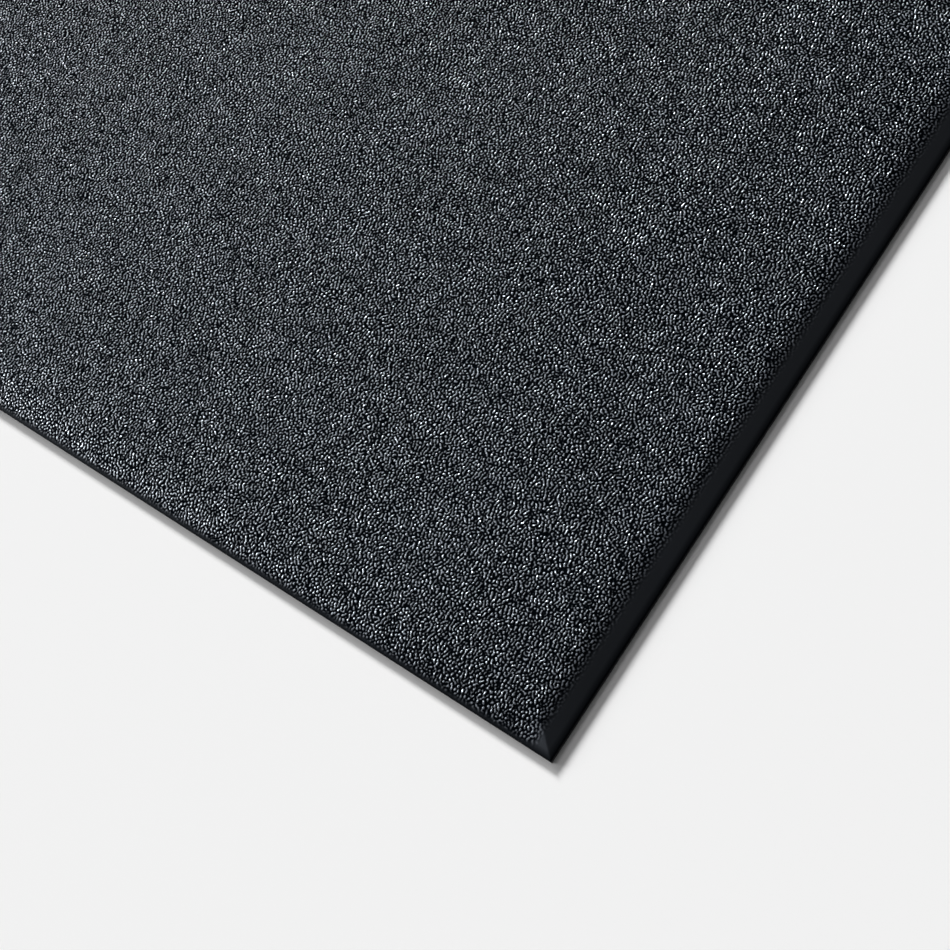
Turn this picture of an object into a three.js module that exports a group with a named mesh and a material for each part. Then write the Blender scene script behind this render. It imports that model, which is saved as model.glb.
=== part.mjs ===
// Anti-fatigue standing mat: a rectangular slab of cushioning foam with four bevelled
// sides that meet in sharp mitred corners. Three bonded layers lie on each other:
//   base_skin   thin dense underside that grips the floor
//   foam_core   closed-cell foam that gives the cushioning and carries the bevels
//   wear_layer  tough embossed skin over the top and down the bevels to the lip
//
// Millimetres, +Z up. X runs along the long side, Y along the short side. The origin is
// the middle of the underside.

import * as THREE from 'three';

// ---- Driving dimensions -------------------------------------------------------------

const LENGTH = 900; // long side, X
const WIDTH = 600; // short side, Y
const THICKNESS = 9.5; // floor to standing surface

const BASE_SKIN = 0.6; // thickness of the underside skin
const WEAR_SKIN = 0.8; // thickness of the embossed skin, measured straight down
const LIP_FOAM = 2.0; // foam left between the skins at the very edge

const BEVEL_WIDTH = 24; // how far the slope reaches in from each side
const BEVEL_STEPS = 32; // facets from the lip to the standing surface
const LIP_ROUND = 0.6; // radius of the rounded upper arris of the lip
const LIP_ROUND_STEPS = 3;

// The slope starts steep at the lip, stays straight, and eases into the flat top.
const SLOPE_EASE_OUT = 0.45; // share of the bevel width that is straight

// ---- Materials ----------------------------------------------------------------------

const embossedVinyl = new THREE.MeshStandardMaterial({
  color: 0x2b2d30,
  roughness: 0.42,
  metalness: 0,
});
const closedCellFoam = new THREE.MeshStandardMaterial({
  color: 0x1f2021,
  roughness: 0.9,
  metalness: 0,
});
const gripSkin = new THREE.MeshStandardMaterial({
  color: 0x191a1b,
  roughness: 0.75,
  metalness: 0,
});

// ---- Bevel profile ------------------------------------------------------------------

// Share of the full rise reached at share u of the bevel width: a straight slope up to
// SLOPE_EASE_OUT, then a parabola that arrives level at the standing surface.
function riseShare(u) {
  const straight = SLOPE_EASE_OUT;
  const eased = 1 - straight;
  const slope = 1 / (straight + eased / 2);
  if (u <= straight) return slope * u;
  const v = u - straight;
  return slope * (straight + v - (v * v) / (2 * eased));
}

// Height that the rounded arris takes off the lip at a distance in from the edge.
function roundOff(inset) {
  const fromCentre = Math.max(LIP_ROUND - inset, 0);
  return LIP_ROUND - Math.sqrt(LIP_ROUND ** 2 - fromCentre ** 2);
}

const FOAM_TOP = THICKNESS - WEAR_SKIN;
const LIP_FOAM_TOP = BASE_SKIN + LIP_FOAM;
const FOAM_RISE = FOAM_TOP - LIP_FOAM_TOP;

// One corner of the section through a side: how far in from the edge, and how high.
const foamPoint = (inset) => ({
  inset,
  height: LIP_FOAM_TOP + FOAM_RISE * riseShare(inset / BEVEL_WIDTH),
});
const wearPoint = (inset) => ({
  inset,
  height: foamPoint(inset).height + WEAR_SKIN - roundOff(inset),
});

const bevelInsets = Array.from(
  { length: BEVEL_STEPS + 1 },
  (_, i) => (BEVEL_WIDTH * i) / BEVEL_STEPS,
);
const roundInsets = Array.from(
  { length: LIP_ROUND_STEPS },
  (_, i) => LIP_ROUND * (1 - Math.cos((Math.PI / 2) * (i / LIP_ROUND_STEPS))),
);

const foamBevel = bevelInsets.map(foamPoint);
const wearBevel = [
  ...roundInsets,
  LIP_ROUND,
  ...bevelInsets.filter((inset) => inset > LIP_ROUND),
].map(wearPoint);

// ---- Rectangular rings into a closed body -------------------------------------------

// A section swept round the rectangle with mitred corners. The section starts with a
// face that looks down and ends with one that looks up, and each is closed flat.
function mitredSlab(section) {
  const positions = [];
  for (const { inset, height } of section) {
    const x = LENGTH / 2 - inset;
    const y = WIDTH / 2 - inset;
    positions.push(-x, -y, height, x, -y, height, x, y, height, -x, y, height);
  }

  const corner = (ring, k) => ring * 4 + (k % 4);
  const last = section.length - 1;
  const faces = [];
  faces.push(corner(0, 0), corner(0, 2), corner(0, 1));
  faces.push(corner(0, 0), corner(0, 3), corner(0, 2));
  for (let ring = 0; ring < last; ring += 1) {
    for (let k = 0; k < 4; k += 1) {
      const [a, b] = [corner(ring, k), corner(ring, k + 1)];
      const [c, d] = [corner(ring + 1, k + 1), corner(ring + 1, k)];
      faces.push(a, b, c, a, c, d);
    }
  }
  faces.push(corner(last, 0), corner(last, 1), corner(last, 2));
  faces.push(corner(last, 0), corner(last, 2), corner(last, 3));

  const geometry = new THREE.BufferGeometry();
  geometry.setAttribute('position', new THREE.Float32BufferAttribute(positions, 3));
  geometry.setIndex(faces);
  geometry.computeVertexNormals();
  return geometry;
}

// ---- The three layers ---------------------------------------------------------------

function baseSkin() {
  return mitredSlab([
    { inset: 0, height: 0 },
    { inset: 0, height: BASE_SKIN },
  ]);
}

function foamCore() {
  return mitredSlab([{ inset: 0, height: BASE_SKIN }, ...foamBevel]);
}

// The skin's underside follows the foam's bevel outwards, and its top comes back in.
function wearLayer() {
  return mitredSlab([...foamBevel.toReversed(), ...wearBevel]);
}

function layer(name, geometry, material) {
  const mesh = new THREE.Mesh(geometry, material);
  mesh.name = name;
  return mesh;
}

const mat = new THREE.Group();
mat.add(
  layer('base_skin', baseSkin(), gripSkin),
  layer('foam_core', foamCore(), closedCellFoam),
  layer('wear_layer', wearLayer(), embossedVinyl),
);

export default mat;
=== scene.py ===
"""Looks of an anti-fatigue standing mat: an embossed vinyl wear skin on a closed-cell
foam slab with a thin grip skin underneath, lying on a pale studio floor.

Sizes are in metres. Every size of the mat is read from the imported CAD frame, and only
what the frame can't hold is set here: the embossing, the foam's cells and the finish.
"""

import math

import bpy
import numpy as np
from mathutils import Matrix, Vector


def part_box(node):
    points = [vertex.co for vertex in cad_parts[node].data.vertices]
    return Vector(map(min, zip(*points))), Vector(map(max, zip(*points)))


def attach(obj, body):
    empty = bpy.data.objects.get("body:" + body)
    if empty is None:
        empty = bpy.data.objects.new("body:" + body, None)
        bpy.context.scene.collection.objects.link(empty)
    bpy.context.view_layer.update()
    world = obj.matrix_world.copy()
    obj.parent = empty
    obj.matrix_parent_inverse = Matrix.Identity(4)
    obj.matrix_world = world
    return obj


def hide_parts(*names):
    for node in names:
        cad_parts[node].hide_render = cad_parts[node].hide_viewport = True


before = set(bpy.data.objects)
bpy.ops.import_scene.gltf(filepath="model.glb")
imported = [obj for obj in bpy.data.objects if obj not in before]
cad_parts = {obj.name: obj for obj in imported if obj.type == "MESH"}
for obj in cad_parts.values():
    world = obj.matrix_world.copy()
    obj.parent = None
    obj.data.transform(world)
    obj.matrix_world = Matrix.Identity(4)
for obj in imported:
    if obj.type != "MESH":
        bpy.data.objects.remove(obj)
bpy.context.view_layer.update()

MM = 0.001
SEED = 7
BODY = "root"

# ---- Sizes taken from the frame -------------------------------------------------------

wear_low, wear_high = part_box("wear_layer")
base_low, base_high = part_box("base_skin")

HALF = (wear_high.x, wear_high.y)  # half the length and half the width


def cad_profile(node):
    """Distance in from the edge and height of each ring of a CAD layer's upper face."""
    rings = {}
    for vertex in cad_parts[node].data.vertices:
        x, y, z = vertex.co
        if x > 0 and y > 0:
            inset = round(HALF[0] - x, 7)
            rings[inset] = max(rings.get(inset, z), z)
    insets = sorted(rings)
    return np.array(insets), np.array([rings[inset] for inset in insets])


WEAR_INSETS, WEAR_HEIGHTS = cad_profile("wear_layer")
FOAM_INSETS, FOAM_HEIGHTS = cad_profile("foam_core")

# ---- Reliefs --------------------------------------------------------------------------

PEBBLE_PITCH = 1.98 * MM
PEBBLE_SPREAD = 0.31  # how much the spacing varies, as a share of the pitch
PEBBLE_DEPTH = 0.58 * MM
PEBBLE_STEP = 0.5 * MM  # spacing of the surface's vertices
PEBBLE_LOW = -0.6  # noise that becomes the bottom of a groove
PEBBLE_HIGH = 2.0  # and the top of a crown
PEBBLE_GRAIN = math.radians(16)  # direction across the ridges, from the long side
PEBBLE_LEAN = 0.36  # how strongly the ridges keep to their direction, 0 to 1
SIDE_FADE = (0.5 * MM, 6.2 * MM)  # where the pebbles rise, in from a long side
END_FADE = (8.0 * MM, 20.0 * MM)  # and in from an end, which is pressed flatter
# These shares also set how far the border is painted between the groove's painted shade and
# the crown's painted highlight.
FLAT_CROWN = 0.37  # how the pressed border counts, between groove and crown
EDGE_CROWN = 0.28  # and the very edge, where the skin is cut
EDGE_REACH = 4.0 * MM

CELL_PITCH = 0.9 * MM
CELL_STEP = 0.4 * MM
CELL_DEPTH = 0.12 * MM
CELL_ROWS = 6

GRIP_PITCH = 9.0 * MM
GRIP_STEP = 2.0 * MM
GRIP_DEPTH = 0.08 * MM


def ring_noise(rows, columns, step, pitch, spread, salt, grain=0.0, lean=0.0):
    """Smooth noise on a grid whose ridges all lie about one pitch apart.

    White noise keeps only its waves of about that length, which leaves short winding
    ridges. A lean above 0 strengthens the waves along the grain, so that more ridges lie
    across it. The result has a mean of 0 and a standard deviation of 1.
    """
    white = np.random.default_rng(SEED + salt).standard_normal((rows, columns))
    x = np.fft.rfftfreq(columns, step)[None, :]
    y = np.fft.fftfreq(rows, step)[:, None]
    across = x * math.cos(grain) + y * math.sin(grain)
    along = y * math.cos(grain) - x * math.sin(grain)
    waves = np.hypot(across, along)
    ring = np.exp(-0.5 * ((waves * pitch - 1) / spread) ** 2)
    ring *= 1 + lean * (across**2 - along**2) / np.maximum(waves, 1) ** 2
    field = np.fft.irfft2(np.fft.rfft2(white) * ring, white.shape)
    return field / field.std()


def smooth_step(value, low, high):
    t = np.clip((value - low) / (high - low), 0, 1)
    return t * t * (3 - 2 * t)


# ---- Meshes ---------------------------------------------------------------------------

LIP_LINES = np.array([0, 0.08, 0.2, 0.38, 0.6, 0.9]) * MM
LIP_REACH = 1.2 * MM


def grid_lines(half, step):
    """Lines across the mat: close together over the rounded lip, then evenly spaced."""
    inner = half - LIP_REACH
    middle = np.linspace(-inner, inner, 2 * round(inner / step) + 1)
    return np.concatenate([LIP_LINES - half, middle, half - LIP_LINES[::-1]])


def make_object(name, vertices, quads, triangles, material, sharp=math.radians(50)):
    """A smooth-shaded mesh object from vertex, quad and triangle arrays."""
    mesh = bpy.data.meshes.new(name)
    loops = np.concatenate([quads.ravel(), triangles.ravel()]).astype(np.int32)
    starts = np.concatenate([
        np.arange(len(quads)) * 4,
        len(quads) * 4 + np.arange(len(triangles)) * 3,
    ]).astype(np.int32)
    mesh.vertices.add(len(vertices))
    mesh.vertices.foreach_set("co", vertices.astype(np.float32).ravel())
    mesh.loops.add(len(loops))
    mesh.loops.foreach_set("vertex_index", loops)
    mesh.polygons.add(len(starts))
    mesh.polygons.foreach_set("loop_start", starts)
    mesh.update(calc_edges=True)
    mesh.validate()
    mesh.shade_smooth()
    mesh.set_sharp_from_angle(angle=sharp)
    mesh.materials.append(material)
    obj = bpy.data.objects.new(name, mesh)
    bpy.context.scene.collection.objects.link(obj)
    return obj


def band(lower, upper):
    """Quads between two loops of the same length, facing out when upper is above."""
    return np.stack([lower, np.roll(lower, -1), np.roll(upper, -1), upper], axis=1)


def fans(loop, corners, ring):
    """Triangles, facing down, from a long loop to the four corners of a ring inside it."""
    faces = []
    ends = list(corners) + [len(loop)]
    for side in range(4):
        first, last = ends[side], ends[side + 1]
        middle = (first + last) // 2
        i = np.arange(first, last)
        here, there = ring[side], ring[(side + 1) % 4]
        apex = np.where(i < middle, here, there)
        start, end = loop[i], loop[(i + 1) % len(loop)]
        faces.append(np.stack([start, apex, end], axis=1))
        faces.append(np.array([[loop[middle], here, there]]))
    return np.concatenate(faces)


def closing(loop, corners, rings, first_id):
    """Closes a loop, facing down, through rectangular rings given as (inset, height).

    Returns the rings' vertices, the quads between them and the triangles to the first.
    """
    vertices, quads, ids = [], [], []
    for k, (inset, height) in enumerate(rings):
        a, b = HALF[0] - inset, HALF[1] - inset
        vertices += [(-a, -b, height), (a, -b, height), (a, b, height), (-a, b, height)]
        ids.append(first_id + 4 * k + np.arange(4))
    for outer, inner in zip(ids, ids[1:]):
        quads.append(band(outer, inner)[:, ::-1])
    quads.append(ids[-1][::-1].reshape(1, 4))
    return np.array(vertices), np.concatenate(quads), fans(loop, corners, ids[0])


def relief_slab(name, xs, ys, heights, foot, rings, material, upwards=True):
    """A closed slab: a relief on one face, a rim down to foot, and rings that close it."""
    columns, rows = len(xs), len(ys)
    x, y = np.meshgrid(xs, ys)
    face = np.stack([x.ravel(), y.ravel(), heights.ravel()], axis=1)
    index = np.arange(rows * columns).reshape(rows, columns)
    quads = [index[:-1, :-1], index[:-1, 1:], index[1:, 1:], index[1:, :-1]]
    quads = np.stack(quads, axis=-1).reshape(-1, 4)

    rim = np.concatenate([index[0, :-1], index[:-1, -1], index[-1, :0:-1], index[:0:-1, 0]])
    corners = [0, columns - 1, columns + rows - 2, 2 * columns + rows - 3]
    foot_face = face[rim].copy()
    foot_face[:, 2] = foot
    foot_ids = len(face) + np.arange(len(rim))
    ring_face, ring_quads, triangles = closing(
        foot_ids, corners, rings, len(face) + len(foot_face))

    vertices = np.concatenate([face, foot_face, ring_face])
    quads = np.concatenate([quads, band(foot_ids, rim), ring_quads])
    if not upwards:
        quads, triangles = quads[:, ::-1], triangles[:, ::-1]
    return make_object(name, vertices, quads, triangles, material)


def wear_skin(material):
    """The embossed skin: pebbles over the whole top, closed below along the foam."""
    xs, ys = grid_lines(HALF[0], PEBBLE_STEP), grid_lines(HALF[1], PEBBLE_STEP)
    lip = len(LIP_LINES)
    noise = ring_noise(len(ys) - 2 * lip, len(xs) - 2 * lip, PEBBLE_STEP,
                       PEBBLE_PITCH, PEBBLE_SPREAD, 1, PEBBLE_GRAIN, PEBBLE_LEAN)
    pebbles = smooth_step(np.pad(noise, lip, mode="edge"), PEBBLE_LOW, PEBBLE_HIGH)
    from_end, from_side = (HALF[0] - np.abs(xs))[None, :], (HALF[1] - np.abs(ys))[:, None]
    amount = smooth_step(from_end, *END_FADE) * smooth_step(from_side, *SIDE_FADE)
    inset = np.minimum(from_end, from_side)
    smooth = np.interp(inset, WEAR_INSETS, WEAR_HEIGHTS)
    border = np.interp(inset, (0, EDGE_REACH), (EDGE_CROWN, FLAT_CROWN))
    heights = smooth - PEBBLE_DEPTH * amount * (1 - pebbles)
    rings = list(zip(FOAM_INSETS[1:], FOAM_HEIGHTS[1:]))
    skin = relief_slab("embossed_wear_skin", xs, ys, heights, wear_low.z, rings, material)

    # The crown value chooses the painted shade in the grooves and the painted highlight on
    # the crowns; the flat border gets a share between them.
    crown = np.zeros(len(skin.data.vertices), np.float32)
    crown[: heights.size] = (pebbles * amount + border * (1 - amount)).ravel()
    attribute = skin.data.attributes.new("crown", "FLOAT", "POINT")
    attribute.data.foreach_set("value", crown)
    return skin


def foam_slab(material):
    """The foam: its cut sides show the cells, and the rest is bonded to the skins."""
    along, across = (2 * round(half / CELL_STEP) for half in HALF)
    x = np.linspace(-HALF[0], HALF[0], along, endpoint=False)
    y = np.linspace(-HALF[1], HALF[1], across, endpoint=False)
    sides = [
        (x, np.full(along, -HALF[1]), (0, -1)),
        (np.full(across, HALF[0]), y, (1, 0)),
        (-x, np.full(along, HALF[1]), (0, 1)),
        (np.full(across, -HALF[0]), -y, (-1, 0)),
    ]
    loop = np.concatenate([np.stack([sx, sy], axis=1) for sx, sy, _ in sides])
    outward = np.concatenate([np.tile(out, (len(sx), 1)) for sx, _, out in sides])
    corners = [0, along, along + across, 2 * along + across]

    heights = np.linspace(base_high.z, FOAM_HEIGHTS[0], CELL_ROWS)
    cells = ring_noise(CELL_ROWS, len(loop), CELL_STEP, CELL_PITCH, 0.3, 2)
    depth = CELL_DEPTH * np.clip(-cells, 0, 2) / 2
    depth[[0, -1]] = 0
    depth[:, corners] = 0
    rows = [np.column_stack([loop - outward * depth[k][:, None],
                             np.full(len(loop), heights[k])]) for k in range(CELL_ROWS)]
    ids = [k * len(loop) + np.arange(len(loop)) for k in range(CELL_ROWS)]
    count = CELL_ROWS * len(loop)

    below = [(FOAM_INSETS[1], base_high.z)]
    above = list(zip(FOAM_INSETS[1:], FOAM_HEIGHTS[1:]))
    low_face, low_quads, low_triangles = closing(ids[0], corners, below, count)
    top_face, top_quads, top_triangles = closing(
        ids[-1], corners, above, count + len(low_face))
    vertices = np.concatenate([*rows, low_face, top_face])
    walls = [band(ids[k], ids[k + 1]) for k in range(CELL_ROWS - 1)]
    quads = np.concatenate([*walls, low_quads, top_quads[:, ::-1]])
    triangles = np.concatenate([low_triangles, top_triangles[:, ::-1]])
    return make_object("foam_slab", vertices, quads, triangles, material)


def grip_skin(material):
    """The underside: a thin skin with a shallow, uneven grain."""
    xs, ys = grid_lines(HALF[0], GRIP_STEP), grid_lines(HALF[1], GRIP_STEP)
    lip = len(LIP_LINES)
    noise = ring_noise(len(ys) - 2 * lip, len(xs) - 2 * lip, GRIP_STEP, GRIP_PITCH, 0.3, 3)
    grain = smooth_step(np.pad(noise, lip, mode="edge"), -2.0, 2.0)
    from_end, from_side = (HALF[0] - np.abs(xs))[None, :], (HALF[1] - np.abs(ys))[:, None]
    amount = smooth_step(np.minimum(from_end, from_side), 1.0 * MM, 8.0 * MM)
    heights = base_low.z + GRIP_DEPTH * amount * (1 - grain)
    rings = [(FOAM_INSETS[1], base_high.z)]
    return relief_slab("grip_skin", xs, ys, heights, base_high.z, rings, material,
                       upwards=False)


# ---- Materials ------------------------------------------------------------------------

GROOVE_AT = 0.24  # height below which the surface looks like a groove
CROWN_AT = 0.88  # and above which it looks like a crown
# The groove colour is painted shade, near black, and the crown colour is a painted
# highlight, grey, so the relief reads as lit crowns over shaded grooves.
GROOVE_PAINTED_SHADE = (0.0008, 0.0014, 0.0022, 1)
CROWN_PAINTED_HIGHLIGHT = (0.093, 0.103, 0.13, 1)
GLOSS_TINT = (0.85, 0.93, 1.0, 1)
GLOSS_IOR = 1.85
GROOVE_ROUGHNESS = 0.8
CROWN_ROUGHNESS = 0.27


def node_material(name, roughness=0.5):
    """A new material, its node tree and its shader."""
    material = bpy.data.materials.new(name)
    material.use_nodes = True
    tree = material.node_tree
    shader = tree.nodes["Principled BSDF"]
    shader.inputs["Roughness"].default_value = roughness
    return material, tree, shader


def add_ramp(tree, value, stops):
    """A colour ramp over a value, with its stops given as (position, colour)."""
    ramp = tree.nodes.new("ShaderNodeValToRGB")
    ramp.color_ramp.interpolation = "EASE"
    for element, (position, colour) in zip(ramp.color_ramp.elements, stops):
        element.position, element.color = position, colour
    tree.links.new(value, ramp.inputs["Fac"])
    return ramp.outputs["Color"]


def add_range(tree, value, source, target):
    """A smooth change from one target value to the other across the source range."""
    change = tree.nodes.new("ShaderNodeMapRange")
    change.interpolation_type = "SMOOTHSTEP"
    for socket, number in zip(("From Min", "From Max", "To Min", "To Max"),
                              (*source, *target)):
        change.inputs[socket].default_value = number
    tree.links.new(value, change.inputs["Value"])
    return change.outputs["Result"]


def add_noise(tree, size, detail):
    """Noise in the mat's own coordinates with features of about that size."""
    place = tree.nodes.new("ShaderNodeTexCoord")
    noise = tree.nodes.new("ShaderNodeTexNoise")
    noise.inputs["Scale"].default_value = 1 / size
    noise.inputs["Detail"].default_value = detail
    tree.links.new(place.outputs["Object"], noise.inputs["Vector"])
    return noise.outputs["Fac"]


def add_math(tree, operation, a, b):
    node = tree.nodes.new("ShaderNodeMath")
    node.operation = operation
    tree.links.new(a, node.inputs[0])
    if isinstance(b, float):
        node.inputs[1].default_value = b
    else:
        tree.links.new(b, node.inputs[1])
    return node.outputs["Value"]


def add_bump(tree, shader, height, distance, strength):
    bump = tree.nodes.new("ShaderNodeBump")
    bump.inputs["Distance"].default_value = distance
    bump.inputs["Strength"].default_value = strength
    tree.links.new(height, bump.inputs["Height"])
    tree.links.new(bump.outputs["Normal"], shader.inputs["Normal"])


def embossed_vinyl():
    """Grooves painted near black as painted shade, and satin crowns painted grey as a
    painted highlight, with a fine grain and slightly uneven colour.
    """
    material, tree, shader = node_material("embossed_vinyl")
    crown = tree.nodes.new("ShaderNodeAttribute")
    crown.attribute_name = "crown"
    height = crown.outputs["Fac"]
    rise = (GROOVE_AT, CROWN_AT)

    mottle = add_range(tree, add_noise(tree, 60 * MM, 2.0), (0.3, 0.7), (0.9, 1.1))
    # This ramp paints shade into the grooves and a highlight onto the crowns.
    colour = add_ramp(tree, height, zip(rise, (GROOVE_PAINTED_SHADE, CROWN_PAINTED_HIGHLIGHT)))
    tint = tree.nodes.new("ShaderNodeVectorMath")
    tint.operation = "SCALE"
    tree.links.new(colour, tint.inputs[0])
    tree.links.new(mottle, tint.inputs["Scale"])
    tree.links.new(tint.outputs["Vector"], shader.inputs["Base Color"])

    grain = add_noise(tree, 0.35 * MM, 2.0)
    rough = add_range(tree, height, rise, (GROOVE_ROUGHNESS, CROWN_ROUGHNESS))
    uneven = add_range(tree, grain, (0.3, 0.7), (-0.05, 0.05))
    tree.links.new(add_math(tree, "ADD", rough, uneven), shader.inputs["Roughness"])
    # The gloss is taken out of the grooves as painted shade and is full on the crowns.
    gloss = add_range(tree, height, rise, (0.0, 1.0))
    tree.links.new(gloss, shader.inputs["Specular IOR Level"])
    shader.inputs["IOR"].default_value = GLOSS_IOR
    shader.inputs["Specular Tint"].default_value = GLOSS_TINT
    add_bump(tree, shader, grain, 0.03 * MM, 0.5)
    return material


def closed_cell_foam():
    """Matt black foam with round cells about half a millimetre across."""
    material, tree, shader = node_material("closed_cell_foam", 0.9)
    place = tree.nodes.new("ShaderNodeTexCoord")
    cells = tree.nodes.new("ShaderNodeTexVoronoi")
    cells.inputs["Scale"].default_value = 1 / (0.6 * MM)
    tree.links.new(place.outputs["Object"], cells.inputs["Vector"])
    distance = cells.outputs["Distance"]
    stops = ((0.1, (0.006, 0.006, 0.0065, 1)), (0.7, (0.02, 0.02, 0.021, 1)))
    tree.links.new(add_ramp(tree, distance, stops), shader.inputs["Base Color"])
    tree.links.new(add_range(tree, distance, (0, 0.7), (0.95, 0.8)),
                   shader.inputs["Roughness"])
    shader.inputs["Specular IOR Level"].default_value = 0.3
    add_bump(tree, shader, distance, 0.1 * MM, 0.8)
    return material


def matt_grip():
    """Dull black skin with a fine matt grain."""
    material, tree, shader = node_material("grip_skin", 0.75)
    grain = add_noise(tree, 0.8 * MM, 3.0)
    stops = ((0.3, (0.008, 0.008, 0.0085, 1)), (0.7, (0.015, 0.015, 0.016, 1)))
    tree.links.new(add_ramp(tree, grain, stops), shader.inputs["Base Color"])
    tree.links.new(add_range(tree, grain, (0.3, 0.7), (0.85, 0.65)),
                   shader.inputs["Roughness"])
    add_bump(tree, shader, grain, 0.08 * MM, 0.7)
    return material


def pale_floor():
    material, _, shader = node_material("floor", 0.9)
    shader.inputs["Base Color"].default_value = (0.9, 0.9, 0.9, 1)
    return material


# ---- Pieces ---------------------------------------------------------------------------

skin = wear_skin(embossed_vinyl())
foam = foam_slab(closed_cell_foam())
grip = grip_skin(matt_grip())
for piece, node, finish in ((skin, "wear_layer", "embossed_vinyl"),
                            (foam, "foam_core", "closed_cell_foam"),
                            (grip, "base_skin", "grip_skin")):
    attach(piece, BODY)
    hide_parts(node)

# ---- Studio ---------------------------------------------------------------------------

CORNER = Vector((HALF[0], -HALF[1], 0))
AIM_FROM_CORNER = Vector((-122.3, 107.9, 0)) * MM
CAMERA_DISTANCE = 860.6 * MM
CAMERA_AZIMUTH = math.radians(61.73)
CAMERA_ELEVATION = math.radians(64)
CAMERA_ROLL = math.radians(29.5)
LENS = 60.63
SENSOR = 36
FLOOR_REACH = 40

# Name, azimuth and elevation in degrees, strength, and the angle that softens the shadow.
SUNS = (
    ("key", 236, 22, 5.0, 12),
    ("side", 258, 22, 0.9, 14),
    ("low_side", 287, 18, 0.6, 12),
    ("high_side", 296, 50, 0.5, 20),
    ("overhead", 0, 85, 0.21, 40),
)


def direction(azimuth, elevation):
    """From the middle of the scene towards a point at that azimuth and elevation."""
    flat = math.cos(elevation)
    return Vector((math.sin(azimuth) * flat, -math.cos(azimuth) * flat, math.sin(elevation)))


def add_camera():
    data = bpy.data.cameras.new("camera")
    data.lens, data.sensor_width = LENS, SENSOR
    camera = bpy.data.objects.new("camera", data)
    bpy.context.scene.collection.objects.link(camera)
    back = direction(CAMERA_AZIMUTH, CAMERA_ELEVATION)
    turn = back.to_track_quat("Z", "Y").to_matrix() @ Matrix.Rotation(-CAMERA_ROLL, 3, "Z")
    place = CORNER + AIM_FROM_CORNER + back * CAMERA_DISTANCE
    camera.matrix_world = Matrix.Translation(place) @ turn.to_4x4()
    bpy.context.scene.camera = camera


def add_sun(name, azimuth, elevation, strength, angle):
    """A distant light; a wider angle in degrees makes a softer shadow."""
    data = bpy.data.lights.new(name, "SUN")
    data.energy, data.angle = strength, math.radians(angle)
    sun = bpy.data.objects.new(name, data)
    bpy.context.scene.collection.objects.link(sun)
    towards = direction(math.radians(azimuth), math.radians(elevation))
    sun.matrix_world = towards.to_track_quat("Z", "Y").to_matrix().to_4x4()


def add_lamp(name, azimuth, distance, height, power, size, pieces):
    """A round soft lamp near the mat, kept off the floor so that it lights the mat only."""
    data = bpy.data.lights.new(name, "AREA")
    data.shape, data.size, data.energy = "DISK", size, power
    lamp = bpy.data.objects.new(name, data)
    bpy.context.scene.collection.objects.link(lamp)
    aim = CORNER + AIM_FROM_CORNER
    away = direction(math.radians(azimuth), 0) * distance + Vector((0, 0, height))
    turn = away.to_track_quat("Z", "Y").to_matrix().to_4x4()
    lamp.matrix_world = Matrix.Translation(aim + away) @ turn
    lamp.visible_camera = False
    lit = bpy.data.collections.new(name)
    for piece in pieces:
        lit.objects.link(piece)
    lamp.light_linking.receiver_collection = lit


def add_floor():
    r = FLOOR_REACH
    vertices = np.array([(-r, -r, 0), (r, -r, 0), (r, r, 0), (-r, r, 0)])
    none = np.zeros((0, 3))
    floor = make_object("floor", vertices, np.array([[0, 1, 2, 3]]), none, pale_floor())


def add_world(light, backdrop):
    """An even surround that gives one strength of light and looks like another."""
    world = bpy.data.worlds.new("studio")
    bpy.context.scene.world = world
    world.use_nodes = True
    nodes, link = world.node_tree.nodes, world.node_tree.links.new
    lit, seen = nodes["Background"], nodes.new("ShaderNodeBackground")
    for background, strength in ((lit, light), (seen, backdrop)):
        background.inputs["Color"].default_value = (1, 1, 1, 1)
        background.inputs["Strength"].default_value = strength
    path, mix = nodes.new("ShaderNodeLightPath"), nodes.new("ShaderNodeMixShader")
    link(path.outputs["Is Camera Ray"], mix.inputs["Fac"])
    link(lit.outputs["Background"], mix.inputs[1])
    link(seen.outputs["Background"], mix.inputs[2])
    link(mix.outputs["Shader"], nodes["World Output"].inputs["Surface"])


add_camera()
add_floor()
add_world(light=0.02, backdrop=0.9)
for name, azimuth, elevation, strength, angle in SUNS:
    add_sun(name, azimuth, elevation, strength, angle)
add_lamp("near_side", azimuth=300, distance=0.95, height=0.34, power=12.0, size=0.3,
         pieces=(skin, foam, grip))
bpy.context.scene.view_settings.view_transform = "Standard"
